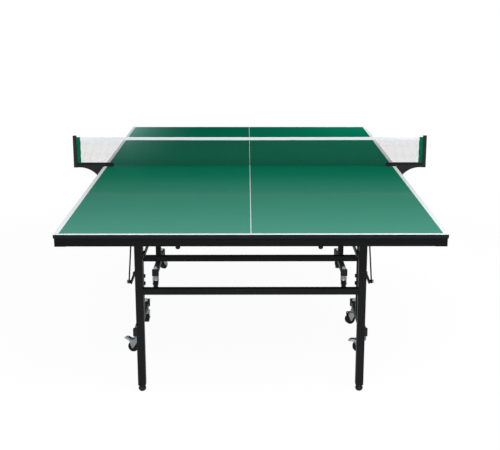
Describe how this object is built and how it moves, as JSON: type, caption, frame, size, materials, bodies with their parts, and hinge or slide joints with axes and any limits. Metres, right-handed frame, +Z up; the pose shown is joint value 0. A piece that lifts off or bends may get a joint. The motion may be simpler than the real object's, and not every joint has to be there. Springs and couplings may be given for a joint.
{
  "type": "ping pong table",
  "caption": "Green folding ping pong table in two halves, each on a wheeled black steel trolley with folding legs, with a clamped net.",
  "frame": {"origin": "on the floor, below the middle of the net", "axes": "+X across the table to the right, +Y along the table away from the viewer, +Z up"},
  "size_m": [1.83, 2.74, 0.92],
  "materials": {
    "table_board": "satin paint with white lines",
    "black_steel": "satin powder coat",
    "black_plastic": "matte",
    "zinc_steel": "bright zinc plate",
    "wheel_rubber": "matte",
    "net_mesh": "open knotted net",
    "net_tape": "woven tape",
    "net_sleeve": "woven sleeve"
  },
  "bodies": {
    "near_trolley": {"near_trolley_uprights": "black_steel", "near_trolley_crossbar": "black_steel", "near_base_beams": "black_steel", "near_beam_caps": "black_plastic", "near_trolley_bolts": "zinc_steel"},
    "near_top": {"near_board": "table_board", "near_apron": "black_steel", "near_corner_caps": "black_plastic", "near_hinge_brackets": "black_steel", "near_hinge_pins": "zinc_steel"},
    "near_legs": {"near_leg_tubes": "black_steel", "near_leg_crossbar": "black_steel"},
    "near_leg_links": {"near_leg_links": "black_steel"},
    "near_lock_arms": {"near_lock_arms": "black_steel"},
    "near_lock_rods": {"near_lock_rods": "black_steel"},
    "near_left_foot": {"near_left_foot": "black_plastic"},
    "near_left_outer_caster": {"near_left_outer_fork": "zinc_steel"},
    "near_left_outer_wheel": {"near_left_outer_wheel": "wheel_rubber"},
    "near_left_brake_pedal": {"near_left_brake_pedal": "zinc_steel"},
    "near_left_inner_caster": {"near_left_inner_fork": "zinc_steel"},
    "near_left_inner_wheel": {"near_left_inner_wheel": "wheel_rubber"},
    "near_right_foot": {"near_right_foot": "black_plastic"},
    "near_right_outer_caster": {"near_right_outer_fork": "zinc_steel"},
    "near_right_outer_wheel": {"near_right_outer_wheel": "wheel_rubber"},
    "near_right_brake_pedal": {"near_right_brake_pedal": "zinc_steel"},
    "near_right_inner_caster": {"near_right_inner_fork": "zinc_steel"},
    "near_right_inner_wheel": {"near_right_inner_wheel": "wheel_rubber"},
    "far_trolley": {"far_trolley_uprights": "black_steel", "far_trolley_crossbar": "black_steel", "far_base_beams": "black_steel", "far_beam_caps": "black_plastic", "far_trolley_bolts": "zinc_steel"},
    "far_top": {"far_board": "table_board", "far_apron": "black_steel", "far_corner_caps": "black_plastic", "far_hinge_brackets": "black_steel", "far_hinge_pins": "zinc_steel", "net_clamps": "black_plastic"},
    "far_legs": {"far_leg_tubes": "black_steel", "far_leg_crossbar": "black_steel"},
    "far_leg_links": {"far_leg_links": "black_steel"},
    "far_lock_arms": {"far_lock_arms": "black_steel"},
    "far_lock_rods": {"far_lock_rods": "black_steel"},
    "far_left_foot": {"far_left_foot": "black_plastic"},
    "far_left_outer_caster": {"far_left_outer_fork": "zinc_steel"},
    "far_left_outer_wheel": {"far_left_outer_wheel": "wheel_rubber"},
    "far_left_brake_pedal": {"far_left_brake_pedal": "zinc_steel"},
    "far_left_inner_caster": {"far_left_inner_fork": "zinc_steel"},
    "far_left_inner_wheel": {"far_left_inner_wheel": "wheel_rubber"},
    "far_right_foot": {"far_right_foot": "black_plastic"},
    "far_right_outer_caster": {"far_right_outer_fork": "zinc_steel"},
    "far_right_outer_wheel": {"far_right_outer_wheel": "wheel_rubber"},
    "far_right_brake_pedal": {"far_right_brake_pedal": "zinc_steel"},
    "far_right_inner_caster": {"far_right_inner_fork": "zinc_steel"},
    "far_right_inner_wheel": {"far_right_inner_wheel": "wheel_rubber"},
    "net_set": {"net_mesh": "net_mesh", "net_tape": "net_tape", "net_sleeves": "net_sleeve"},
    "left_clamp_screw": {"left_clamp_screw": "black_plastic"},
    "right_clamp_screw": {"right_clamp_screw": "black_plastic"}
  },
  "joints": [
    {"name": "near_top_tilt", "type": "hinge", "parent": "near_trolley", "child": "near_top", "pos_m": [0, -0.44, 0.72], "axis": [-1, 0, 0], "range_deg": [0, 90]},
    {"name": "near_legs_fold", "type": "hinge", "parent": "near_top", "child": "near_legs", "pos_m": [0, -1.081, 0.72], "axis": [1, 0, 0], "range_deg": [0, 90]},
    {"name": "near_links_swing", "type": "hinge", "parent": "near_trolley", "child": "near_leg_links", "pos_m": [0, -0.435, 0.6], "axis": [-1, 0, 0], "range_deg": [0, 90]},
    {"name": "near_arms_swing", "type": "hinge", "parent": "near_trolley", "child": "near_lock_arms", "pos_m": [0, -0.47, 0.325], "axis": [-1, 0, 0], "range_deg": [0, 90]},
    {"name": "near_rods_swing", "type": "hinge", "parent": "near_top", "child": "near_lock_rods", "pos_m": [0, -0.57, 0.72], "axis": [1, 0, 0], "range_deg": [0, 90]},
    {"name": "near_left_foot_level", "type": "slide", "parent": "near_legs", "child": "near_left_foot", "axis": [0, 0, -1], "range_m": [0, 0.012]},
    {"name": "near_left_outer_swivel", "type": "hinge", "parent": "near_trolley", "child": "near_left_outer_caster", "pos_m": [-0.53, -0.663, 0], "axis": [0, 0, 1], "continuous": true},
    {"name": "near_left_outer_roll", "type": "hinge", "parent": "near_left_outer_caster", "child": "near_left_outer_wheel", "pos_m": [-0.55125, -0.65731, 0.025], "axis": [-0.2588, -0.9659, 0], "continuous": true},
    {"name": "near_left_brake_pedal_press", "type": "hinge", "parent": "near_left_outer_caster", "child": "near_left_brake_pedal", "pos_m": [-0.55898, -0.65524, 0.0545], "axis": [-0.2588, -0.9659, 0], "range_deg": [0, 24]},
    {"name": "near_left_inner_swivel", "type": "hinge", "parent": "near_trolley", "child": "near_left_inner_caster", "pos_m": [-0.53, -0.277, 0], "axis": [0, 0, 1], "continuous": true},
    {"name": "near_left_inner_roll", "type": "hinge", "parent": "near_left_inner_caster", "child": "near_left_inner_wheel", "pos_m": [-0.52923, -0.25501, 0.025], "axis": [-0.9994, 0.0349, 0], "continuous": true},
    {"name": "near_right_foot_level", "type": "slide", "parent": "near_legs", "child": "near_right_foot", "axis": [0, 0, -1], "range_m": [0, 0.012]},
    {"name": "near_right_outer_swivel", "type": "hinge", "parent": "near_trolley", "child": "near_right_outer_caster", "pos_m": [0.53, -0.663, 0], "axis": [0, 0, 1], "continuous": true},
    {"name": "near_right_outer_roll", "type": "hinge", "parent": "near_right_outer_caster", "child": "near_right_outer_wheel", "pos_m": [0.50812, -0.6607, 0.025], "axis": [-0.1045, -0.9945, 0], "continuous": true},
    {"name": "near_right_brake_pedal_press", "type": "hinge", "parent": "near_right_outer_caster", "child": "near_right_brake_pedal", "pos_m": [0.50016, -0.65986, 0.0545], "axis": [-0.1045, -0.9945, 0], "range_deg": [-22, 2]},
    {"name": "near_right_inner_swivel", "type": "hinge", "parent": "near_trolley", "child": "near_right_inner_caster", "pos_m": [0.53, -0.277, 0], "axis": [0, 0, 1], "continuous": true},
    {"name": "near_right_inner_roll", "type": "hinge", "parent": "near_right_inner_caster", "child": "near_right_inner_wheel", "pos_m": [0.5096, -0.28524, 0.025], "axis": [0.3746, -0.9272, 0], "continuous": true},
    {"name": "halves_roll_apart", "type": "slide", "parent": "near_trolley", "child": "far_trolley", "axis": [0, 1, 0], "range_m": [0, 0.5]},
    {"name": "far_top_tilt", "type": "hinge", "parent": "far_trolley", "child": "far_top", "pos_m": [0, 0.44, 0.72], "axis": [1, 0, 0], "range_deg": [0, 90], "deforming": ["net_mesh", "net_tape"]},
    {"name": "far_legs_fold", "type": "hinge", "parent": "far_top", "child": "far_legs", "pos_m": [0, 1.081, 0.72], "axis": [-1, 0, 0], "range_deg": [0, 90]},
    {"name": "far_links_swing", "type": "hinge", "parent": "far_trolley", "child": "far_leg_links", "pos_m": [0, 0.435, 0.6], "axis": [1, 0, 0], "range_deg": [0, 90]},
    {"name": "far_arms_swing", "type": "hinge", "parent": "far_trolley", "child": "far_lock_arms", "pos_m": [0, 0.47, 0.325], "axis": [1, 0, 0], "range_deg": [0, 90]},
    {"name": "far_rods_swing", "type": "hinge", "parent": "far_top", "child": "far_lock_rods", "pos_m": [0, 0.57, 0.72], "axis": [-1, 0, 0], "range_deg": [0, 90]},
    {"name": "far_left_foot_level", "type": "slide", "parent": "far_legs", "child": "far_left_foot", "axis": [0, 0, -1], "range_m": [0, 0.012]},
    {"name": "far_left_outer_swivel", "type": "hinge", "parent": "far_trolley", "child": "far_left_outer_caster", "pos_m": [0.53, 0.663, 0], "axis": [0, 0, 1], "continuous": true},
    {"name": "far_left_outer_roll", "type": "hinge", "parent": "far_left_outer_caster", "child": "far_left_outer_wheel", "pos_m": [0.53382, 0.68467, 0.025], "axis": [-0.9848, 0.1736, 0], "continuous": true},
    {"name": "far_left_brake_pedal_press", "type": "hinge", "parent": "far_left_outer_caster", "child": "far_left_brake_pedal", "pos_m": [0.53521, 0.69254, 0.0545], "axis": [-0.9848, 0.1736, 0], "range_deg": [0, 24]},
    {"name": "far_left_inner_swivel", "type": "hinge", "parent": "far_trolley", "child": "far_left_inner_caster", "pos_m": [0.53, 0.277, 0], "axis": [0, 0, 1], "continuous": true},
    {"name": "far_left_inner_roll", "type": "hinge", "parent": "far_left_inner_caster", "child": "far_left_inner_wheel", "pos_m": [0.53457, 0.29852, 0.025], "axis": [-0.9781, 0.2079, 0], "continuous": true},
    {"name": "far_right_foot_level", "type": "slide", "parent": "far_legs", "child": "far_right_foot", "axis": [0, 0, -1], "range_m": [0, 0.012]},
    {"name": "far_right_outer_swivel", "type": "hinge", "parent": "far_trolley", "child": "far_right_outer_caster", "pos_m": [-0.53, 0.663, 0], "axis": [0, 0, 1], "continuous": true},
    {"name": "far_right_outer_roll", "type": "hinge", "parent": "far_right_outer_caster", "child": "far_right_outer_wheel", "pos_m": [-0.519, 0.68205, 0.025], "axis": [-0.866, 0.5, 0], "continuous": true},
    {"name": "far_right_brake_pedal_press", "type": "hinge", "parent": "far_right_outer_caster", "child": "far_right_brake_pedal", "pos_m": [-0.515, 0.68898, 0.0545], "axis": [-0.866, 0.5, 0], "range_deg": [0, 24]},
    {"name": "far_right_inner_swivel", "type": "hinge", "parent": "far_trolley", "child": "far_right_inner_caster", "pos_m": [-0.53, 0.277, 0], "axis": [0, 0, 1], "continuous": true},
    {"name": "far_right_inner_roll", "type": "hinge", "parent": "far_right_inner_caster", "child": "far_right_inner_wheel", "pos_m": [-0.53457, 0.29852, 0.025], "axis": [-0.9781, -0.2079, 0], "continuous": true},
    {"name": "net_lift", "type": "slide", "parent": "far_top", "child": "net_set", "axis": [0, 0, 1], "range_m": [0, 0.16]},
    {"name": "left_clamp_screw_feed", "type": "slide", "parent": "far_top", "child": "left_clamp_screw", "axis": [0, 0, -1], "range_m": [0, 0.018]},
    {"name": "right_clamp_screw_feed", "type": "slide", "parent": "far_top", "child": "right_clamp_screw", "axis": [0, 0, -1], "range_m": [0, 0.018]}
  ],
  "couplings": [
    {"joint": "near_legs_fold", "follows": "near_top_tilt", "ratio": 1},
    {"joint": "near_links_swing", "follows": "near_top_tilt", "ratio": 1},
    {"joint": "near_arms_swing", "follows": "near_top_tilt", "ratio": 1},
    {"joint": "near_rods_swing", "follows": "near_top_tilt", "ratio": 1},
    {"joint": "far_legs_fold", "follows": "far_top_tilt", "ratio": 1},
    {"joint": "far_links_swing", "follows": "far_top_tilt", "ratio": 1},
    {"joint": "far_arms_swing", "follows": "far_top_tilt", "ratio": 1},
    {"joint": "far_rods_swing", "follows": "far_top_tilt", "ratio": 1}
  ]
}
